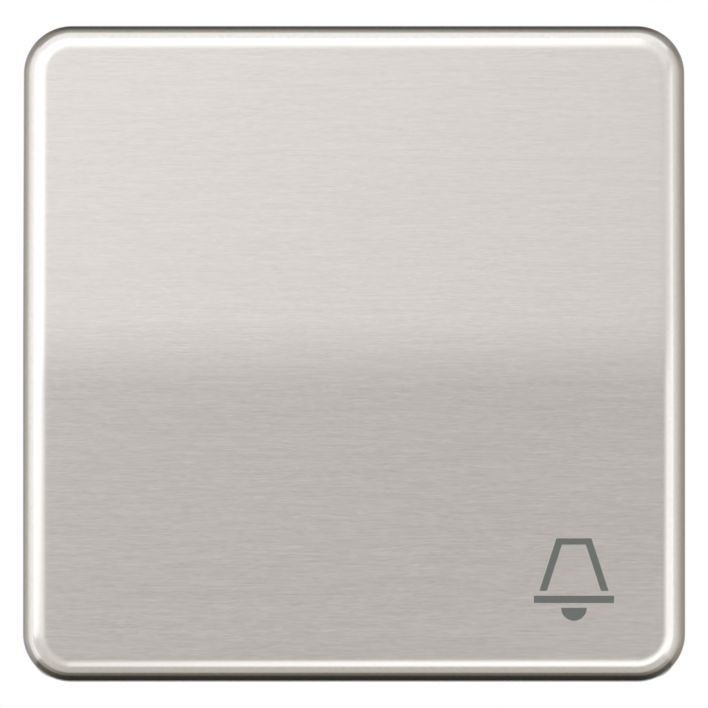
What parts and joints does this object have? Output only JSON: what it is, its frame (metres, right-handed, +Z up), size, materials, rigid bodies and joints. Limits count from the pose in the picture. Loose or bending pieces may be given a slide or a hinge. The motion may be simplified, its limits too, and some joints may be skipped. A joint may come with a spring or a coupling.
{
  "type": "doorbell push button",
  "caption": "Flush rocker push button with a brushed metal cap, printed bell symbol, steel support plate, plastic insert and push-in terminals.",
  "frame": {"origin": "middle of the support plate's rear face, which lies on the wall", "axes": "+Y into the wall, so the front of the button faces -Y; +Z up; +X to the right of someone who faces the wall"},
  "size_m": [0.066, 0.0345, 0.0654],
  "materials": {
    "cap_metal": "fine horizontal brush lines with a polished rim",
    "symbol_ink": "matt grey print",
    "carrier_plastic": "satin moulding",
    "cradle_plastic": "satin moulding",
    "plate_steel": "zinc plated sheet",
    "frame_plastic": "satin moulding",
    "spring_steel": "drawn wire and strip",
    "plunger_plastic": "satin moulding",
    "strip_brass": "stamped strip",
    "contact_silver": "silver contact",
    "housing_plastic": "satin moulding",
    "cover_plastic": "satin moulding",
    "lever_plastic": "satin moulding"
  },
  "bodies": {
    "insert": {"support_plate": "plate_steel", "bearing_frame": "frame_plastic", "switch_housing": "housing_plastic", "terminal_cover": "cover_plastic", "fixed_contact_left": "contact_silver", "fixed_contact_right": "contact_silver", "busbar_left": "strip_brass", "busbar_right": "strip_brass", "clamp_spring_left": "spring_steel", "clamp_spring_right": "spring_steel", "return_spring": "spring_steel", "contact_spring": "spring_steel"},
    "button": {"button_cap": "cap_metal", "bell_symbol": "symbol_ink", "rocker_carrier": "carrier_plastic", "rocker_cradle": "cradle_plastic"},
    "plunger": {"plunger": "plunger_plastic", "contact_bridge": "strip_brass", "bridge_contacts": "contact_silver"},
    "release_left": {"release_lever_left": "lever_plastic"},
    "release_right": {"release_lever_right": "lever_plastic"}
  },
  "joints": [
    {"name": "button_rock", "type": "hinge", "parent": "insert", "child": "button", "pos_m": [0, -0.0042, 0], "axis": [1, 0, 0], "range_deg": [0, 4], "stiffness_Nm_per_rad": 0.5, "springref_deg": -5.73, "deforming": ["return_spring"]},
    {"name": "plunger_slide", "type": "slide", "parent": "insert", "child": "plunger", "axis": [0, 1, 0], "range_m": [0, 0.00091], "deforming": ["contact_spring"]},
    {"name": "release_left", "type": "slide", "parent": "insert", "child": "release_left", "axis": [0, -1, 0], "range_m": [0, 0.0015], "stiffness_N_per_m": 300, "springref_m": -0.001, "deforming": ["clamp_spring_left"]},
    {"name": "release_right", "type": "slide", "parent": "insert", "child": "release_right", "axis": [0, -1, 0], "range_m": [0, 0.0015], "stiffness_N_per_m": 300, "springref_m": -0.001, "deforming": ["clamp_spring_right"]}
  ],
  "couplings": [
    {"joint": "plunger_slide", "follows": "button_rock", "m_per_rad": 0.013}
  ]
}
